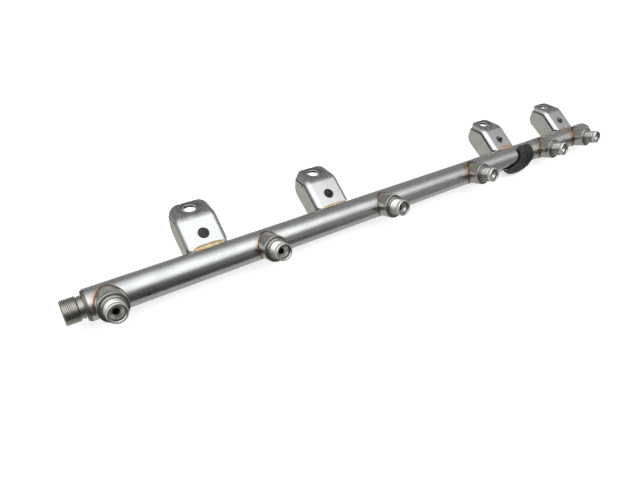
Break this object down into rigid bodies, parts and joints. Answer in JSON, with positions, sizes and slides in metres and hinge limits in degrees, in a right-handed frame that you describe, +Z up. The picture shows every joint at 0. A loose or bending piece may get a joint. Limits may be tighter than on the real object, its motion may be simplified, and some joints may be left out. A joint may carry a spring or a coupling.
{
  "type": "fuel rail",
  "caption": "Straight high-pressure fuel rail tube with threaded pipe ports on its front, pressed mounting brackets behind it, a threaded near end, a closed far end and a rubber strap.",
  "frame": {"origin": "centre of the first bracket's bolt hole on the flange's underside, where it seats on the engine", "axes": "+X along the rail away from the threaded end, +Y to the rear away from the ports, +Z up along the bolts"},
  "size_m": [0.5252, 0.0733, 0.036],
  "materials": {
    "tube_steel": "satin plated steel with small pits and scratches",
    "fitting_steel": "turned and plated steel, satin",
    "plate_steel": "smooth pressed and plated sheet",
    "channel_steel": "grainy matt pressed sheet",
    "braze_copper": "copper braze, dull to satin",
    "strap_rubber": "satin black rubber"
  },
  "bodies": {
    "root": {"rail_tube": "tube_steel", "end_fitting": "fitting_steel", "end_plug": "fitting_steel", "port_fitting_1": "fitting_steel", "port_fitting_2": "fitting_steel", "port_fitting_3": "fitting_steel", "port_fitting_4": "fitting_steel", "port_fitting_5": "fitting_steel", "port_fitting_6": "fitting_steel", "port_braze_1": "braze_copper", "port_braze_2": "braze_copper", "port_braze_3": "braze_copper", "port_braze_4": "braze_copper", "port_braze_5": "braze_copper", "port_braze_6": "braze_copper", "bracket_plate_1": "plate_steel", "bracket_plate_2": "plate_steel", "bracket_plate_3": "plate_steel", "bracket_plate_4": "plate_steel", "bracket_channel_1": "channel_steel", "bracket_channel_2": "channel_steel", "bracket_channel_3": "channel_steel", "bracket_channel_4": "channel_steel", "bracket_braze_1": "braze_copper", "bracket_braze_2": "braze_copper", "bracket_braze_3": "braze_copper", "bracket_braze_4": "braze_copper", "rubber_strap": "strap_rubber"}
  },
  "joints": []
}
